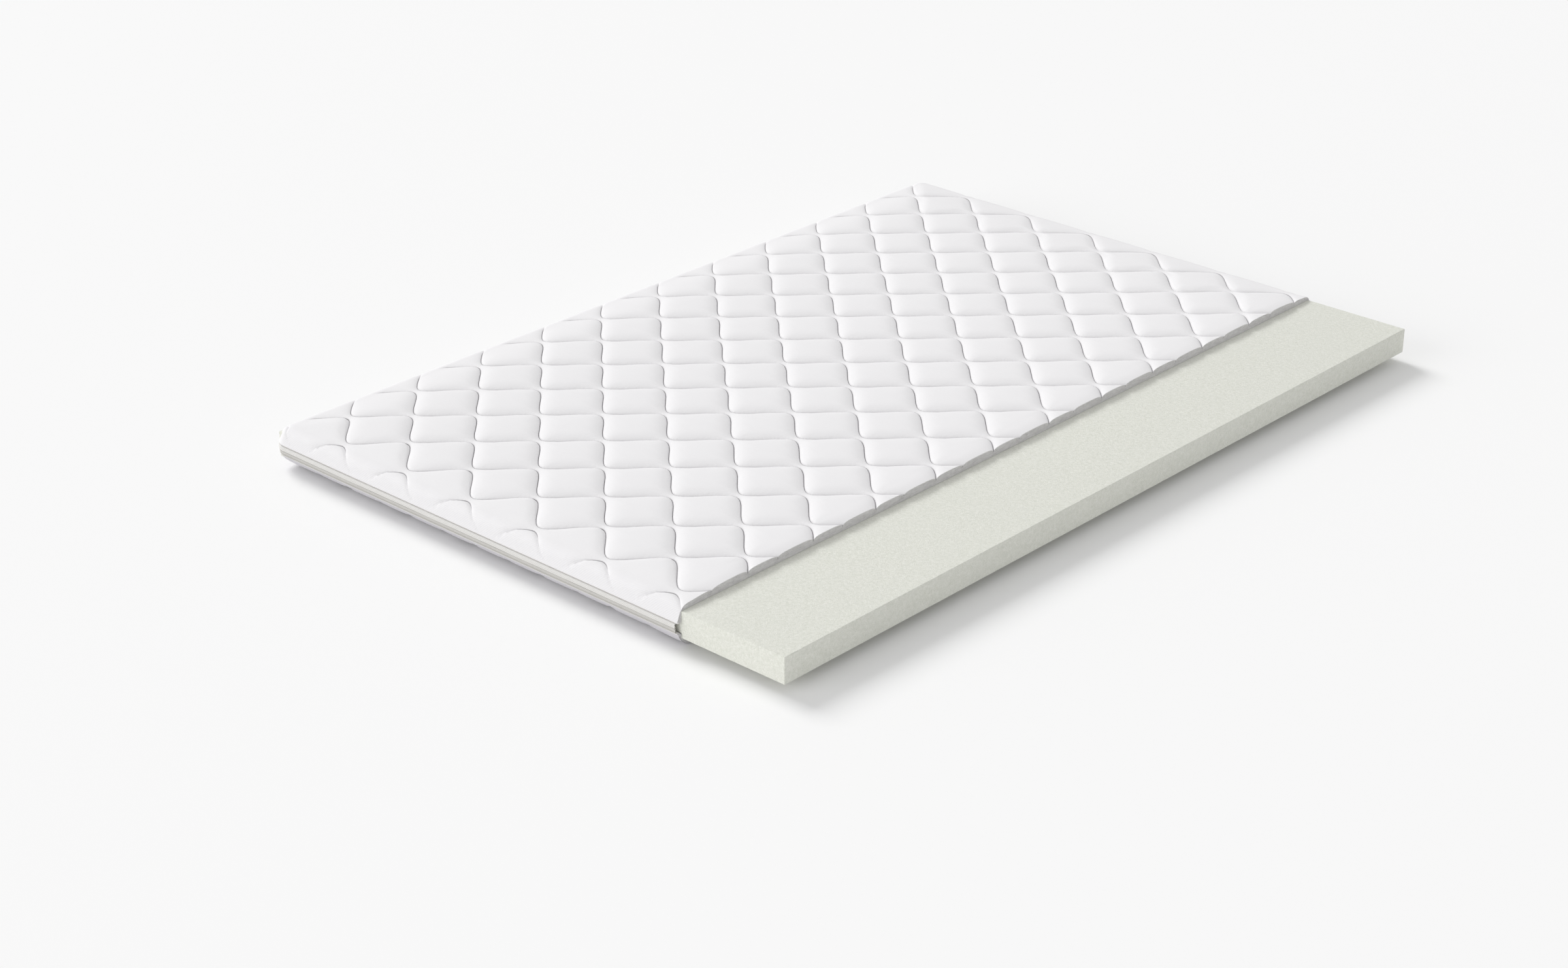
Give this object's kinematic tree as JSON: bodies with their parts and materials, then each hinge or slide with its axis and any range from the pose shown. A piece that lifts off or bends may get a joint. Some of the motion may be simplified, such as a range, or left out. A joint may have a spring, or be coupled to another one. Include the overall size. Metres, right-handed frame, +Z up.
{
  "type": "memory foam mattress",
  "caption": "Thin foam mattress in a quilted zip-round cover; one long side of the cover is cut away straight and the bare foam slab stands out of it.",
  "frame": {"origin": "centre of the bounding box in plan, on the underside of the quilted cover", "axes": "+Z up out of the sleeping surface, +Y along the length, +X out of the cut side where the foam slab stands out"},
  "size_m": [1.3812, 1.9988, 0.092],
  "materials": {
    "cover_fabric": "white polyester knit, quilted",
    "wadding": "fluffy polyester wadding",
    "lining": "thin nonwoven lining",
    "foam": "open-cell viscoelastic foam, ivory",
    "hem_binding": "overlocked hem tape",
    "zip_tape": "ribbed polyester tape",
    "zip_coil": "moulded nylon coil",
    "zip_metal": "white lacquered zinc"
  },
  "bodies": {
    "cover": {"top_knit_fabric": "cover_fabric", "top_wadding": "wadding", "top_lining": "lining", "bottom_knit_fabric": "cover_fabric", "bottom_wadding": "wadding", "bottom_lining": "lining", "upper_hem_binding": "hem_binding", "lower_hem_binding": "hem_binding", "upper_zip_tape": "zip_tape", "lower_zip_tape": "zip_tape", "upper_zip_coil": "zip_coil", "lower_zip_coil": "zip_coil", "zip_end_stop": "zip_metal"},
    "core": {"foam_core": "foam"},
    "slider": {"zip_slider": "zip_metal"},
    "pull": {"zip_pull": "zip_metal"}
  },
  "joints": [
    {"name": "core_slide", "type": "slide", "parent": "cover", "child": "core", "axis": [1, 0, 0], "range_m": [0, 1.15]},
    {"name": "zip_slide", "type": "slide", "parent": "cover", "child": "slider", "axis": [0, 1, 0], "range_m": [0, 1.836]},
    {"name": "pull_hinge", "type": "hinge", "parent": "slider", "child": "pull", "pos_m": [-0.68875, -0.918, 0.041], "axis": [0, 0, -1], "range_deg": [0, 180]}
  ]
}
